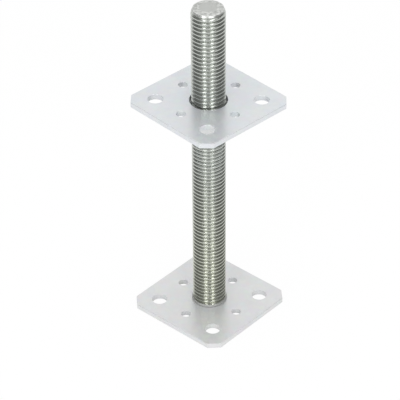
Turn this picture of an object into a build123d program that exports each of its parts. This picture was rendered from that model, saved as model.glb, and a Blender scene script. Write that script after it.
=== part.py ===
from build123d import *
import os
from math import radians, tan

# An adjustable post base: two square plates on one M24 rod. The lower plate is welded to
# the rod's foot, and the upper plate rests on a nut that sets its height.
# Millimetres and degrees. The origin is on the rod's axis, on the underside of the base,
# and +Z points up the rod.

# Both plates: square blanks with cut corners, four bolt holes and four nail holes
plate_side = 83.0
plate_thickness = 4.0
corner_cut = 7.0
edge_rounding = 0.4
bolt_spacing = 52.0
bolt_hole_diameter = 11.0
nail_circle_diameter = 52.0
nail_hole_diameter = 6.0

# The rod and its ends
rod_diameter = 24.0
rod_length = 253.0
end_face_diameter = 16.4
end_bevel_diameter = 21.6
end_bevel_height = 0.8
end_taper_height = 3.2
foot_bevel = 1.0

# The rod's thread. The solid has each fourth groove of it, as a ring.
thread_pitch = 3.0
groove_depth = 1.8
groove_width = 2.4
pitches_per_groove = 4

# How the rod is fixed in the base
foot_hole_gap = 0.2
weld_width = 1.0
weld_height = 2.5

# How high the upper plate is, how it is turned, and its play round the rod
seat_height = 179.0
seat_turn = -5.0
seat_hole_gap = 1.5

# The nut under the upper plate
nut_across_flats = 36.0
nut_height = 19.0
nut_face_diameter = 34.2
nut_corner_angle = 30.0
nut_mouth_diameter = 26.0
nut_mouth_angle = 30.0
nut_running_gap = 0.06
nut_turn = 12.0

# Sizes that follow from those above
rod_radius = rod_diameter / 2
seat_underside = seat_height - plate_thickness
nut_underside = seat_underside - nut_height


def turned(points):
    """The solid that a half section, given as radius and height, sweeps round the Z axis."""
    return revolve(Plane.XZ * make_face(Polyline(*points, close=True)), Axis.Z)


def drilled_plate(centre_hole_radius):
    """A plate standing on Z = 0, with cut corners, dulled edges and all its holes."""
    outline = chamfer(Rectangle(plate_side, plate_side).vertices(), corner_cut)
    blank = extrude(outline, plate_thickness)
    faces = blank.faces().sort_by(Axis.Z)
    blank = fillet(faces[0].edges() + faces[-1].edges(), edge_rounding)

    bolts = GridLocations(bolt_spacing, bolt_spacing, 2, 2)
    nails = PolarLocations(nail_circle_diameter / 2, 4)
    holes = Circle(centre_hole_radius)
    holes += bolts * Circle(bolt_hole_diameter / 2)
    holes += nails * Circle(nail_hole_diameter / 2)
    return blank - extrude(holes, plate_thickness)


def base_plate():
    """The lower plate, bored for the rod's foot."""
    return drilled_plate(rod_radius + foot_hole_gap)


def upper_plate():
    """The plate that carries the post: loose round the rod, and turned a little on the nut."""
    plate = drilled_plate(rod_radius + seat_hole_gap)
    return Pos(0, 0, seat_underside) * Rot(0, 0, seat_turn) * plate


def threaded_rod():
    """The rod at its crests, with grooves between the weld and the taper under its bevelled end."""
    bevel_foot = rod_length - end_bevel_height
    taper_foot = bevel_foot - end_taper_height
    weld_top = plate_thickness + weld_height
    groove_spacing = pitches_per_groove * thread_pitch

    side = [(rod_radius - foot_bevel, 0), (rod_radius, foot_bevel)]
    for number in range(1, int(rod_length / groove_spacing) + 1):
        bottom = number * groove_spacing
        low, high = bottom - groove_width / 2, bottom + groove_width / 2
        if low > weld_top and high < taper_foot:
            side += [(rod_radius, low), (rod_radius - groove_depth, bottom), (rod_radius, high)]
    side += [(rod_radius, taper_foot), (end_bevel_diameter / 2, bevel_foot)]
    return turned([(0, 0)] + side + [(end_face_diameter / 2, rod_length), (0, rod_length)])


def rod_weld():
    """The fillet weld that runs round the rod on top of the base."""
    return turned([
        (rod_radius, plate_thickness),
        (rod_radius + weld_width, plate_thickness),
        (rod_radius, plate_thickness + weld_height),
    ])


def adjusting_nut():
    """A hexagon nut, its corners turned off at both faces and its bore opened at both mouths."""
    hexagon = RegularPolygon(nut_across_flats / 2, 6, major_radius=False)
    corner_radius = hexagon.edges()[0].length
    face_radius = nut_face_diameter / 2
    corner_fall = (corner_radius - face_radius) * tan(radians(nut_corner_angle))
    bore_radius = rod_radius + nut_running_gap
    mouth_radius = nut_mouth_diameter / 2
    mouth_depth = (mouth_radius - bore_radius) * tan(radians(nut_mouth_angle))
    limits = turned([
        (bore_radius, mouth_depth),
        (mouth_radius, 0),
        (face_radius, 0),
        (corner_radius, corner_fall),
        (corner_radius, nut_height - corner_fall),
        (face_radius, nut_height),
        (mouth_radius, nut_height),
        (bore_radius, nut_height - mouth_depth),
    ])
    prism = extrude(Rot(0, 0, nut_turn) * hexagon, nut_height)
    return Pos(0, 0, nut_underside) * (prism & limits)


parts = {
    "base_plate": base_plate,
    "threaded_rod": threaded_rod,
    "rod_weld": rod_weld,
    "upper_plate": upper_plate,
    "adjusting_nut": adjusting_nut,
}

os.makedirs("parts", exist_ok=True)
for name, make in parts.items():
    export_step(make(), f"parts/{name}.step")
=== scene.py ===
from math import cos, pi, radians, sin, tan

import bpy
from mathutils import Matrix, Vector


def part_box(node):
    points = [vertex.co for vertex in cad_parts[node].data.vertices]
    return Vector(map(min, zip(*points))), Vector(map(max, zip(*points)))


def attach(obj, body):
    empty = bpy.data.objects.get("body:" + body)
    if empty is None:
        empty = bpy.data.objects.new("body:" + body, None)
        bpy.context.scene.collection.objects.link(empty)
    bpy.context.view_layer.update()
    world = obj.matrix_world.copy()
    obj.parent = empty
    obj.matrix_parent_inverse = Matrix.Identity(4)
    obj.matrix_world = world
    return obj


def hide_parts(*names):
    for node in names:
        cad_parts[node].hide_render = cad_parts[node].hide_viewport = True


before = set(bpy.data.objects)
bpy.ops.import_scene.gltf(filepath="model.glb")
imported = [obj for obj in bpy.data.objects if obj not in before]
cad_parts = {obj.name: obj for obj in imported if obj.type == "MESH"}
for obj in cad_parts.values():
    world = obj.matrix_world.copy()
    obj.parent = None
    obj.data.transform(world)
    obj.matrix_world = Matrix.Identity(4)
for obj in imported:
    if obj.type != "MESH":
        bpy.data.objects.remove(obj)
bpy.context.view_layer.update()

# The looks of an adjustable post base: two galvanised plates on a zinc-plated M24 rod.
# Everything is in metres, in the CAD's own frame: the rod stands on Z and the base on Z = 0.

mm = 0.001
merge_gap = 1e-6
pole_merge_gap = 1e-7

# Both plates. The holes' reach is from the rod's axis to the hole's own.
plate_side = 83.0 * mm
plate_thickness = 4.0 * mm
corner_cut = 7.0 * mm
edge_rounding = 0.4 * mm
rim_dulling = 0.15 * mm
bolt_reach = 26.0 * mm * 2 ** 0.5
bolt_hole_radius = 5.5 * mm
nail_reach = 26.0 * mm
nail_hole_radius = 3.4 * mm
foot_hole_radius = 12.2 * mm
seat_hole_radius = 13.5 * mm
seat_turn = radians(-5)
hole_facets = 64
drill_spare = 2 * mm

# The thread, and how the rod's two ends are cut
pitch = 3.0 * mm
crest_radius = 12.0 * mm
root_radius = 10.55 * mm
crest_width = 0.5 * mm
crest_round = 0.4 * mm
root_round = 0.22 * mm
flank_angle = radians(30)
steps_in_a_turn = 60
spare_turns = 2
thread_start = 1.8 * mm
rod_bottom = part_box("threaded_rod")[0].z
rod_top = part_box("threaded_rod")[1].z
end_face_radius = 8.2 * mm
end_bevel_radius = 10.8 * mm
end_bevel_height = 0.8 * mm
end_taper_height = 3.2 * mm
bevel_foot = rod_top - end_bevel_height
taper_foot = bevel_foot - end_taper_height
foot_bevel = 1.0 * mm
blank_spare = 0.5 * mm

# The nut
nut_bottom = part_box("adjusting_nut")[0].z
nut_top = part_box("adjusting_nut")[1].z
nut_half_width = 18.0 * mm
nut_face_radius = 17.1 * mm
nut_corner_angle = radians(30)
nut_edge_dulling = 0.35 * mm
nut_mouth_radius = 13.0 * mm
nut_mouth_angle = radians(30)
nut_turn = radians(12)
nut_spare = 1 * mm
thread_play = 0.06 * mm

# The weld bead round the rod's foot. Its section is an ellipse a little off the crests,
# trimmed so that the ripples stay inside the weld's width.
plate_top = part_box("base_plate")[1].z
weld_width = 1.0 * mm
weld_height = 2.5 * mm
bead_offset = 0.12 * mm
bead_sink = 0.1 * mm
bead_trim = 0.3 * mm
bead_facets = 120
bead_grain = 0.13 * mm
weld_ripples = 40
ripple_half_length = 0.9 * mm
ripple_proud = 0.12 * mm

# How fine each pattern in the zinc is, in spots to the metre, and between which of its values
# a cloud goes from thin to thick
plate_clouds = 60
plate_blooms = 260
thread_clouds = 300
thread_streaks = 480
nut_clouds = 150
weld_clouds = 500
cloud_thin = 0.3
cloud_thick = 0.7

# Where the thread's finish changes: how deep in a groove the painted shade and the extra
# roughness begin and are full, how high on the rod the painted reflection tint turns from
# warm to cool, how far from the bevel's foot, and how far from the middle of the end face
groove_begins = 0.5 * mm
groove_full = 0.95 * mm
warm_reflection_below = 0.04
cool_reflection_above = 0.13
bevel_blur = 0.02 * mm
worn_begins = 1.6 * mm
worn_full = 0.6 * mm
face_clean_radius = 5.8 * mm
face_worn_radius = 6.8 * mm

# The camera, found from the edges of both plates and the pitch of the thread
camera_place = Vector((796.147, -899.18, 972.211)) * mm
camera_right = Vector((0.748178, 0.663468, -0.006292))
camera_up = Vector((-0.388133, 0.44534, 0.806861))
camera_back = Vector((0.538129, -0.601234, 0.590708))
sensor_width = 36
picture_width = 400
focal_pixels = 2081.839
camera_focal = focal_pixels / picture_width * sensor_width

# The studio. A floor or room is white straight away from the camera and dimmer in front. An
# edge is the two cosines between which it brightens. room_lift tips the room's white up, and
# floor_glow is the share of the floor that shows plain white, while the rest takes the shadow.
to_camera = Vector((camera_back.x, camera_back.y, 0)).normalized()
lamp_aim = Vector((0, 0, 0.12))
strip_height = 1.6
floor_size = 8
floor_drop = 0.02 * mm
floor_paint = (0.9, 0.9, 0.9, 1)
floor_glow = 0.95
floor_edge = (0.72, 0.86)
floor_front = 0.9
room_edge = (0.66, 0.78)
room_lift = 0.25
room_dim = 0.17
room_light = 0.8


# Working by hand in Blender

def deselect():
    """Leave edit mode with nothing selected."""
    if bpy.context.mode != "OBJECT":
        bpy.ops.object.mode_set(mode="OBJECT")
    bpy.ops.object.select_all(action="DESELECT")


def pick(piece):
    """Make one piece the only selected and active one."""
    deselect()
    piece.select_set(True)
    bpy.context.view_layer.objects.active = piece


def edit_all(piece):
    """Open a piece in edit mode with all of it selected."""
    pick(piece)
    bpy.ops.object.mode_set(mode="EDIT")
    bpy.ops.mesh.select_all(action="SELECT")


def settle(piece, name):
    """Write a piece's place into its mesh and name it."""
    pick(piece)
    bpy.ops.object.transform_apply(location=True, rotation=True, scale=True)
    piece.name = piece.data.name = name
    return piece


def apply_all(piece):
    """Apply every modifier of a piece, top first."""
    pick(piece)
    for modifier in list(piece.modifiers):
        bpy.ops.object.modifier_apply(modifier=modifier.name)


def drawn_line(points, name):
    """A chain of edges in the XZ plane, drawn point by point from one vertex."""
    deselect()
    bpy.ops.mesh.primitive_plane_add(size=mm, location=(points[0][0], 0, points[0][1]))
    line = bpy.context.object
    edit_all(line)
    bpy.ops.mesh.merge(type="CENTER")
    for (r0, z0), (r1, z1) in zip(points, points[1:]):
        bpy.ops.mesh.extrude_region_move(
            TRANSFORM_OT_translate={"value": (r1 - r0, 0, z1 - z0)})
    deselect()
    return settle(line, name)


def turned(points, name, steps=96):
    """A closed solid turned round Z from a half section that starts and ends on the axis."""
    body = drawn_line(points, name)
    lathe = body.modifiers.new("lathe", "SCREW")
    lathe.axis = "Z"
    lathe.angle = 2 * pi
    lathe.screw_offset = 0
    lathe.steps = lathe.render_steps = steps
    lathe.use_merge_vertices = True
    lathe.merge_threshold = pole_merge_gap
    apply_all(body)
    edit_all(body)
    bpy.ops.mesh.remove_doubles(threshold=merge_gap)
    bpy.ops.mesh.normals_make_consistent(inside=False)
    deselect()
    return body


def cut(piece, tool, way):
    """Cut one closed piece with another, which is then thrown away."""
    knife = piece.modifiers.new("cut", "BOOLEAN")
    knife.operation = way
    knife.solver = "EXACT"
    knife.object = tool
    apply_all(piece)
    bpy.data.objects.remove(tool, do_unlink=True)


def dull_sharp_edges(width, steps, least_turn=60):
    """In edit mode, round off the edges that turn by more than the least turn, in degrees."""
    bpy.ops.mesh.select_mode(type="EDGE")
    bpy.ops.mesh.select_all(action="DESELECT")
    bpy.ops.mesh.edges_select_sharp(sharpness=radians(least_turn))
    bpy.ops.mesh.bevel(offset=width, segments=steps, affect="EDGES")
    bpy.ops.mesh.select_mode(type="VERT")


def smooth(piece, angle):
    """Shade a piece smooth, but not over the edges that turn by more than an angle in degrees."""
    pick(piece)
    bpy.ops.object.shade_smooth_by_angle(angle=radians(angle))


# The pieces

def thread_section(play):
    """One pitch of the thread's outline, from a root up over the crest to the next root."""
    root = root_radius + play
    crest = crest_radius + play
    middle = pitch / 2
    steep = pi / 2 - flank_angle
    over_crest = []
    for turn in (steep, steep * 2 / 3, steep / 3, 0):
        r = crest - crest_round * (1 - cos(turn))
        z = middle - crest_width / 2 - crest_round * sin(turn)
        over_crest.append((r, z))
    flank_top_radius, flank_top = over_crest[0]
    flank_foot_radius = root + root_round * (1 - cos(steep))
    flank_foot = flank_top - (flank_top_radius - flank_foot_radius) * tan(flank_angle)
    root_bend = (
        root + root_round * (1 - cos(steep / 2)),
        flank_foot - root_round * (sin(steep) - sin(steep / 2)),
    )
    rising = [(root, 0), root_bend, (flank_foot_radius, flank_foot)] + over_crest
    return rising + [(r, pitch - z) for r, z in reversed(rising)]


def thread_bar(bottom, top, play, name):
    """A closed right-hand threaded bar with flat ends, from bottom to top."""
    turns = int((top - bottom) / pitch) + 2 * spare_turns
    start = thread_start + (int((bottom - thread_start) / pitch) - spare_turns) * pitch
    bar = drawn_line([(r, z + start) for r, z in thread_section(play)], name)
    coil = bar.modifiers.new("coil", "SCREW")
    coil.axis = "Z"
    coil.angle = 2 * pi
    coil.screw_offset = pitch
    coil.iterations = turns
    coil.steps = coil.render_steps = steps_in_a_turn
    apply_all(bar)
    edit_all(bar)
    bpy.ops.mesh.remove_doubles(threshold=merge_gap)
    for height, waste in ((bottom, "clear_inner"), (top, "clear_outer")):
        bpy.ops.mesh.select_all(action="SELECT")
        bpy.ops.mesh.bisect(plane_co=(0, 0, height), plane_no=(0, 0, 1), use_fill=True, **{waste: True})
    bpy.ops.mesh.select_all(action="SELECT")
    bpy.ops.mesh.normals_make_consistent(inside=False)
    deselect()
    return bar


def drills(radius, reach, bearing, bottom, copies):
    """A cutter for one hole, or for a ring of equal holes round the rod."""
    deselect()
    bpy.ops.mesh.primitive_cylinder_add(
        vertices=hole_facets, radius=radius, depth=plate_thickness + drill_spare,
        location=(reach * cos(bearing), reach * sin(bearing), bottom + plate_thickness / 2))
    tool = settle(bpy.context.object, "drill")
    if copies > 1:
        edit_all(tool)
        bpy.ops.mesh.spin(steps=copies - 1, angle=2 * pi * (copies - 1) / copies,
                          center=(0, 0, 0), axis=(0, 0, 1), dupli=True)
        deselect()
    return tool


def drilled_plate(bottom, turn, centre_hole_radius, name):
    """A square blank with cut corners and dulled edges, then its holes with dulled rims."""
    deselect()
    bpy.ops.mesh.primitive_plane_add(size=plate_side, location=(0, 0, bottom), rotation=(0, 0, turn))
    plate = settle(bpy.context.object, name)
    edit_all(plate)
    bpy.ops.mesh.bevel(offset=corner_cut, affect="VERTICES")
    bpy.ops.mesh.select_all(action="SELECT")
    bpy.ops.mesh.extrude_region_move(TRANSFORM_OT_translate={"value": (0, 0, plate_thickness)})
    bpy.ops.mesh.select_all(action="SELECT")
    bpy.ops.mesh.normals_make_consistent(inside=False)
    dull_sharp_edges(edge_rounding, 3)
    deselect()
    cut(plate, drills(centre_hole_radius, 0, 0, bottom, 1), "DIFFERENCE")
    cut(plate, drills(bolt_hole_radius, bolt_reach, turn + pi / 4, bottom, 4), "DIFFERENCE")
    cut(plate, drills(nail_hole_radius, nail_reach, turn, bottom, 4), "DIFFERENCE")
    edit_all(plate)
    dull_sharp_edges(rim_dulling, 2)
    deselect()
    smooth(plate, 12)
    return plate


def threaded_rod():
    """The rod with its whole thread, bevelled at the top and at the foot."""
    rod = thread_bar(rod_bottom - pitch, rod_top + pitch, 0, "rod_thread")
    wide = crest_radius + blank_spare
    slope = (crest_radius - end_bevel_radius) / end_taper_height
    blank = turned([
        (0, rod_bottom),
        (crest_radius - foot_bevel, rod_bottom),
        (wide, rod_bottom + foot_bevel + blank_spare),
        (wide, taper_foot - blank_spare / slope),
        (end_bevel_radius, bevel_foot),
        (end_face_radius, rod_top),
        (0, rod_top),
    ], "rod_blank")
    cut(rod, blank, "INTERSECT")
    smooth(rod, 32)
    return rod


def adjusting_nut():
    """The hexagon nut: corners turned off at both faces, then bored, opened and tapped."""
    corner = nut_half_width / cos(pi / 6)
    deselect()
    bpy.ops.mesh.primitive_cylinder_add(
        vertices=6, radius=corner, depth=nut_top - nut_bottom,
        location=(0, 0, (nut_bottom + nut_top) / 2), rotation=(0, 0, nut_turn + pi / 6))
    nut = settle(bpy.context.object, "nut_hexagon")
    edit_all(nut)
    dull_sharp_edges(nut_edge_dulling, 1, least_turn=50)
    deselect()

    fall = (corner - nut_face_radius) * tan(nut_corner_angle)
    rise = nut_spare * tan(nut_corner_angle)
    inner = nut_face_radius - nut_spare / tan(nut_corner_angle)
    outer = corner + nut_spare
    limits = turned([
        (0, nut_bottom - nut_spare),
        (inner, nut_bottom - nut_spare),
        (outer, nut_bottom + fall + rise),
        (outer, nut_top - fall - rise),
        (inner, nut_top + nut_spare),
        (0, nut_top + nut_spare),
    ], "nut_limits")
    cut(nut, limits, "INTERSECT")

    depth = (nut_mouth_radius - root_radius) * tan(nut_mouth_angle)
    more = nut_spare * tan(nut_mouth_angle)
    core = root_radius - nut_spare
    wide = nut_mouth_radius + nut_spare / tan(nut_mouth_angle)
    mouths = turned([
        (0, nut_bottom - nut_spare),
        (wide, nut_bottom - nut_spare),
        (core, nut_bottom + depth + more),
        (core, nut_top - depth - more),
        (wide, nut_top + nut_spare),
        (0, nut_top + nut_spare),
    ], "nut_mouths")
    cut(nut, mouths, "DIFFERENCE")
    tap = thread_bar(nut_bottom - 2 * pitch, nut_top + 2 * pitch, thread_play, "nut_tap")
    cut(nut, tap, "DIFFERENCE")
    smooth(nut, 28)
    return nut


def weld_bead():
    """The low bead that fixes the rod in the base: a ring with overlapping ripples melted in."""
    middle = Vector((crest_radius + bead_offset, 0, plate_top + weld_height / 2 - bead_sink))
    half_width = weld_width - bead_trim
    half_height = weld_height / 2
    deselect()
    bpy.ops.mesh.primitive_circle_add(vertices=12, radius=1, fill_type="NGON")
    ring = bpy.context.object
    edit_all(ring)
    bpy.ops.transform.resize(value=(half_width, half_height, 1), center_override=(0, 0, 0))
    bpy.ops.transform.rotate(value=pi / 2, orient_axis="X", center_override=(0, 0, 0))
    bpy.ops.transform.translate(value=middle)
    bpy.ops.mesh.spin(steps=bead_facets, angle=2 * pi, center=(0, 0, 0), axis=(0, 0, 1))
    bpy.ops.mesh.select_all(action="SELECT")
    bpy.ops.mesh.remove_doubles(threshold=merge_gap)
    deselect()

    bpy.ops.mesh.primitive_uv_sphere_add(segments=14, ring_count=9, radius=1)
    ripple = bpy.context.object
    edit_all(ripple)
    bpy.ops.transform.resize(value=(half_width + ripple_proud, ripple_half_length, half_height),
                             center_override=(0, 0, 0))
    bpy.ops.transform.translate(value=middle)
    bpy.ops.mesh.spin(steps=weld_ripples, angle=2 * pi, center=(0, 0, 0), axis=(0, 0, 1), dupli=True)

    pick(ring)
    ripple.select_set(True)
    bpy.ops.object.join()
    bead = settle(ring, "weld_bead")
    melt = bead.modifiers.new("melt", "REMESH")
    melt.mode = "VOXEL"
    melt.voxel_size = bead_grain
    calm = bead.modifiers.new("calm", "SMOOTH")
    calm.factor = 0.5
    calm.iterations = 3
    apply_all(bead)
    smooth(bead, 60)
    return bead


# The finishes

def add_node(tree, kind, inputs=None, **settings):
    """Add a node. Its inputs are joined to the sockets, or set to the values, that are given."""
    node = tree.nodes.new(kind)
    for key, value in settings.items():
        setattr(node, key, value)
    for key, value in (inputs or {}).items():
        if isinstance(value, bpy.types.NodeSocket):
            tree.links.new(value, node.inputs[key])
        else:
            node.inputs[key].default_value = value
    return node


class Finish:
    """A node material under construction, with one metal shader."""

    def __init__(self, name):
        self.material = bpy.data.materials.new(name)
        self.material.use_nodes = True
        self.tree = self.material.node_tree
        self.shader = self.tree.nodes["Principled BSDF"]
        self.place = self.add("ShaderNodeTexCoord").outputs["Object"]

    def add(self, kind, inputs=None, **settings):
        """Add a node to this finish."""
        return add_node(self.tree, kind, inputs, **settings)

    def link(self, socket, name):
        """Join a socket to one of the shader's inputs."""
        self.tree.links.new(socket, self.shader.inputs[name])

    def noise(self, scale, detail, roughness):
        """A cloudy pattern fixed to the piece."""
        node = self.add("ShaderNodeTexNoise", {
            "Vector": self.place, "Scale": scale, "Detail": detail, "Roughness": roughness})
        return node.outputs["Fac"]

    def spread(self, socket, low, high, new_low, new_high):
        """A number that goes from its new low to its new high as the socket goes from low to high."""
        node = self.add("ShaderNodeMapRange", {
            "Value": socket, "From Min": low, "From Max": high, "To Min": new_low, "To Max": new_high})
        return node.outputs["Result"]

    def vary(self, cloud, low, high):
        """A number that follows a cloudy pattern between low and high."""
        return self.spread(cloud, cloud_thin, cloud_thick, low, high)

    def reckon(self, way, a, b):
        """The sum, difference or other result of two numbers."""
        return self.add("ShaderNodeMath", {0: a, 1: b}, operation=way).outputs[0]

    def blend(self, share, a, b):
        """A colour that is a where the share is 0 and b where it is 1."""
        node = self.add("ShaderNodeMix", data_type="RGBA")
        for key, value in (("Factor_Float", share), ("A_Color", a), ("B_Color", b)):
            socket = next(s for s in node.inputs if s.identifier == key)
            if isinstance(value, bpy.types.NodeSocket):
                self.tree.links.new(value, socket)
            else:
                socket.default_value = value if key == "Factor_Float" else (*value, 1)
        return next(s for s in node.outputs if s.identifier == "Result_Color")

    def bump(self, height, depth):
        """A relief with a depth in metres."""
        node = self.add("ShaderNodeBump", {"Height": height, "Distance": depth, "Strength": 1.0})
        self.link(node.outputs["Normal"], "Normal")

    def made(self, tone, roughness, metallic):
        """The material, once its tone, roughness and share of metal are given."""
        self.link(tone, "Base Color")
        self.link(roughness, "Roughness")
        self.shader.inputs["Metallic"].default_value = metallic
        return self.material


def galvanised_plate(name, dull, pale, metallic, roughness):
    """Satin hot-dip zinc: pale, with a faint cloudy bloom between two near tones."""
    zinc = Finish(name)
    cloud = zinc.noise(plate_clouds, 4, 0.55)
    bloom = zinc.add("ShaderNodeTexVoronoi", {
        "Vector": zinc.place, "Scale": plate_blooms}, feature="SMOOTH_F1").outputs["Color"]
    tone = zinc.blend(zinc.spread(cloud, 0.35, 0.65, 0, 1), dull, pale)
    tone = zinc.blend(0.04, tone, bloom)
    return zinc.made(tone, zinc.vary(cloud, roughness, roughness + 0.06), metallic)


def bright_thread():
    """Zinc-plated rolled thread: bright on the crests, with painted shade in the grooves and a painted
    warm-to-cool reflection tint up the rod, worn at its end.
    """
    zinc = Finish("bright_thread")
    parts = zinc.add("ShaderNodeSeparateXYZ", {"Vector": zinc.place}).outputs
    across = zinc.add("ShaderNodeCombineXYZ", {"X": parts["X"], "Y": parts["Y"]}).outputs[0]
    radius = zinc.add("ShaderNodeVectorMath", {0: across}, operation="LENGTH").outputs["Value"]
    height = parts["Z"]
    cloud = zinc.noise(thread_clouds, 4, 0.6)
    streaks = zinc.noise(thread_streaks, 2, 0.5)

    # Where the painted groove shade, the worn turns under the bevel, the end and its clean middle are
    crest_here = zinc.spread(height, taper_foot, bevel_foot, crest_radius, end_bevel_radius)
    groove_shade = zinc.spread(zinc.reckon("SUBTRACT", crest_here, radius), groove_begins, groove_full, 0, 1)
    worn_part = zinc.spread(height, bevel_foot - worn_begins, bevel_foot - worn_full, 0, 1)
    end = zinc.spread(height, bevel_foot - bevel_blur, bevel_foot + bevel_blur, 0, 1)
    face_middle = zinc.spread(radius, face_clean_radius, face_worn_radius, 1, 0)

    # Painted reflection tint: warmer, olive tones low on the rod and cooler, bluish-green ones higher
    # up, for coloured surroundings reflected in the zinc.
    upper = zinc.spread(height, warm_reflection_below, cool_reflection_above, 0, 1)
    crest = zinc.blend(upper, (0.60, 0.62, 0.535), (0.585, 0.61, 0.575))
    # The root tone is painted shade: a darker colour in the grooves for the shade that falls there.
    root = zinc.blend(upper, (0.525, 0.54, 0.46), (0.49, 0.515, 0.48))
    tone = zinc.blend(groove_shade, crest, root)
    tone = zinc.blend(zinc.spread(cloud, 0.4, 0.7, 0, 0.25), tone, (0.57, 0.58, 0.53))
    worn = zinc.blend(zinc.spread(streaks, 0.38, 0.62, 0, 1), (0.53, 0.54, 0.52), (0.76, 0.77, 0.75))
    tone = zinc.blend(worn_part, tone, worn)
    tone = zinc.blend(end, tone, zinc.blend(face_middle, worn, (0.60, 0.61, 0.59)))

    rough = zinc.reckon("ADD", zinc.spread(groove_shade, 0, 1, 0.2, 0.34), zinc.vary(cloud, -0.03, 0.05))
    rough = zinc.reckon("ADD", rough, zinc.spread(height, taper_foot, bevel_foot, 0, 0.22))
    zinc.bump(cloud, 0.006 * mm)
    return zinc.made(tone, rough, 1.0)


def zinc_nut():
    """Pale zinc plate, a little cloudy."""
    zinc = Finish("zinc_nut")
    cloud = zinc.noise(nut_clouds, 4, 0.6)
    tone = zinc.blend(zinc.vary(cloud, 0, 1), (0.69, 0.70, 0.70), (0.75, 0.76, 0.76))
    return zinc.made(tone, zinc.vary(cloud, 0.3, 0.38), 0.65)


def galvanised_weld():
    """A weld bead under zinc: matt, uneven, a little darker than the plate."""
    zinc = Finish("galvanised_weld")
    cloud = zinc.noise(weld_clouds, 5, 0.6)
    tone = zinc.blend(zinc.vary(cloud, 0, 1), (0.49, 0.495, 0.48), (0.61, 0.615, 0.60))
    zinc.bump(cloud, 0.015 * mm)
    return zinc.made(tone, zinc.vary(cloud, 0.54, 0.66), 0.85)


def dress(piece, finish):
    """Give a piece its one finish."""
    piece.data.materials.clear()
    piece.data.materials.append(finish)


# The studio

def bright_behind(tree, way, towards, edge, dim):
    """1 for the directions that lie near a given one, and dim for the rest."""
    dot = add_node(tree, "ShaderNodeVectorMath", {0: way, 1: towards}, operation="DOT_PRODUCT")
    ramp = add_node(tree, "ShaderNodeMapRange", {
        "Value": dot.outputs["Value"], "From Min": edge[0], "From Max": edge[1],
        "To Min": dim, "To Max": 1.0}, interpolation_type="SMOOTHSTEP")
    return ramp.outputs["Result"]


def seen_directly(tree):
    """1 for rays that come from the camera, a mirror or a clear surface, and 0 for the rest."""
    path = add_node(tree, "ShaderNodeLightPath").outputs
    total = path["Is Camera Ray"]
    for name in ("Is Glossy Ray", "Is Transmission Ray"):
        total = add_node(tree, "ShaderNodeMath", {0: total, 1: path[name]},
                         operation="ADD", use_clamp=True).outputs[0]
    return total


def chosen_by_ray(tree, kind, others, such):
    """One number for rays of a kind, such as camera rays, and another for all others."""
    ray = add_node(tree, "ShaderNodeLightPath").outputs[kind]
    return add_node(tree, "ShaderNodeMix", {0: ray, 2: others, 3: such}).outputs[0]


def studio_floor():
    """A white floor that shows nearly white and keeps a trace of the object's shadow."""
    deselect()
    bpy.ops.mesh.primitive_plane_add(size=floor_size, location=(0, 0, -floor_drop))
    floor = settle(bpy.context.object, "studio_floor")
    paint = bpy.data.materials.new("studio_white")
    paint.use_nodes = True
    paint.cycles.emission_sampling = "NONE"
    tree = paint.node_tree
    tree.nodes.clear()
    place = add_node(tree, "ShaderNodeTexCoord").outputs["Object"]
    way = add_node(tree, "ShaderNodeVectorMath", {0: place}, operation="NORMALIZE").outputs[0]
    glow = chosen_by_ray(
        tree, "Is Camera Ray", bright_behind(tree, way, -to_camera, floor_edge, floor_front), 1.0)
    white = add_node(tree, "ShaderNodeEmission", {"Strength": glow}).outputs[0]
    matt = add_node(tree, "ShaderNodeBsdfDiffuse", {"Color": floor_paint}).outputs[0]
    share = add_node(tree, "ShaderNodeMath", {0: seen_directly(tree), 1: floor_glow},
                     operation="MULTIPLY").outputs[0]
    mix = add_node(tree, "ShaderNodeMixShader", {0: share, 1: matt, 2: white}).outputs[0]
    add_node(tree, "ShaderNodeOutputMaterial", {0: mix})
    dress(floor, paint)


def studio_room():
    """An even room, white to the camera. Metal sees it white behind the object and overhead,
    and dim in front, where the photographer stands."""
    world = bpy.data.worlds.new("studio")
    bpy.context.scene.world = world
    world.use_nodes = True
    world.cycles.sampling_method = "NONE"
    tree = world.node_tree
    tree.nodes.clear()
    way = add_node(tree, "ShaderNodeTexCoord").outputs["Generated"]
    mirrored = bright_behind(tree, way, (-to_camera.x, -to_camera.y, room_lift), room_edge, room_dim)
    unseen = chosen_by_ray(tree, "Is Glossy Ray", room_light, mirrored)
    strength = chosen_by_ray(tree, "Is Camera Ray", unseen, 1.0)
    light = add_node(tree, "ShaderNodeBackground", {"Color": (1, 1, 1, 1), "Strength": strength})
    add_node(tree, "ShaderNodeOutputWorld", {0: light.outputs[0]})


def area_lamp(name, width, length, strength):
    """A rectangular lamp of a given strength. A larger one is as bright all over as a small one."""
    deselect()
    bpy.ops.object.light_add(type="AREA")
    lamp = bpy.context.object
    lamp.name = name
    lamp.data.shape = "RECTANGLE"
    lamp.data.size = width
    lamp.data.size_y = length
    lamp.data.energy = strength * pi * width * length
    return lamp


def softbox(name, turn, rise, distance, width, height, strength):
    """A lamp placed by its angle from the camera's own direction and its height angle."""
    level = Matrix.Rotation(radians(turn), 3, "Z") @ to_camera
    way = Vector((level.x * cos(radians(rise)), level.y * cos(radians(rise)), sin(radians(rise))))
    lamp = area_lamp(name, width, height, strength)
    lamp.location = lamp_aim + way * distance
    lamp.rotation_euler = way.to_track_quat("Z", "Y").to_euler()


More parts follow.
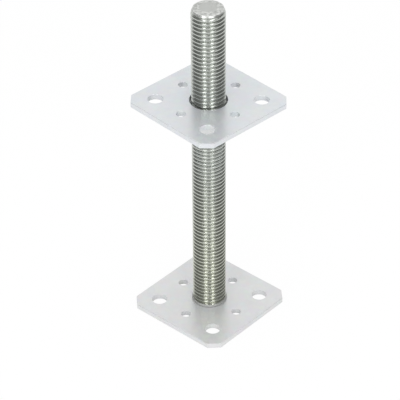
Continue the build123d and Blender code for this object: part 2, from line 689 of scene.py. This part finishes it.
def strip_light(name, side, near, far, width, strength):
    """A long narrow lamp overhead that runs from front to back. Only the metal's gloss sees it."""
    across = Vector((-to_camera.y, to_camera.x, 0))
    place = across * side + to_camera * (near + far) / 2 + Vector((0, 0, strip_height))
    facing = (place - lamp_aim).normalized()
    along = (to_camera - facing * to_camera.dot(facing)).normalized()
    axes = Matrix((along.cross(facing), along, facing)).transposed()
    lamp = area_lamp(name, width, abs(far - near), strength)
    lamp.matrix_world = Matrix.Translation(place) @ axes.to_4x4()
    lamp.visible_diffuse = False


def studio_camera():
    """The camera that took the photograph."""
    deselect()
    bpy.ops.object.camera_add()
    camera = bpy.context.object
    axes = Matrix((camera_right, camera_up, camera_back)).transposed().to_4x4()
    camera.matrix_world = Matrix.Translation(camera_place) @ axes
    camera.data.sensor_width = sensor_width
    camera.data.lens = camera_focal
    bpy.context.scene.camera = camera


base_finish = galvanised_plate(
    "galvanised_base", dull=(0.685, 0.695, 0.70), pale=(0.71, 0.715, 0.72),
    metallic=0.42, roughness=0.32)
seat_finish = galvanised_plate(
    "galvanised_seat", dull=(0.675, 0.70, 0.725), pale=(0.70, 0.725, 0.745),
    metallic=0.46, roughness=0.28)
seat_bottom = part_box("upper_plate")[0].z
base = drilled_plate(0, 0, foot_hole_radius, "base_blank")
seat = drilled_plate(seat_bottom, seat_turn, seat_hole_radius, "seat_blank")
for piece, finish, node, body in (
        (base, base_finish, "base_plate", "base"), (seat, seat_finish, "upper_plate", "support")):
    dress(piece, finish)
    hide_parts(node)
    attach(piece, body)

rod = threaded_rod()
dress(rod, bright_thread())
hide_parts("threaded_rod")
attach(rod, "base")

nut = adjusting_nut()
dress(nut, zinc_nut())
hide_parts("adjusting_nut")
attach(nut, "nut")

bead = weld_bead()
dress(bead, galvanised_weld())
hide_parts("rod_weld")
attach(bead, "base")

studio_floor()
studio_room()
softbox("left_softbox", turn=-27, rise=19, distance=1.6, width=0.44, height=0.8, strength=5.7)
softbox("right_softbox", turn=20, rise=19, distance=1.6, width=0.44, height=0.8, strength=5.7)
strip_light("left_strip", side=-0.45, near=-0.1, far=0.9, width=0.2, strength=2)
strip_light("right_strip", side=0.31, near=-0.1, far=0.9, width=0.2, strength=2)
softbox("overhead", turn=180, rise=80, distance=2.0, width=1.8, height=1.8, strength=0.9)
studio_camera()
bpy.context.scene.view_settings.view_transform = "Standard"

deselect()
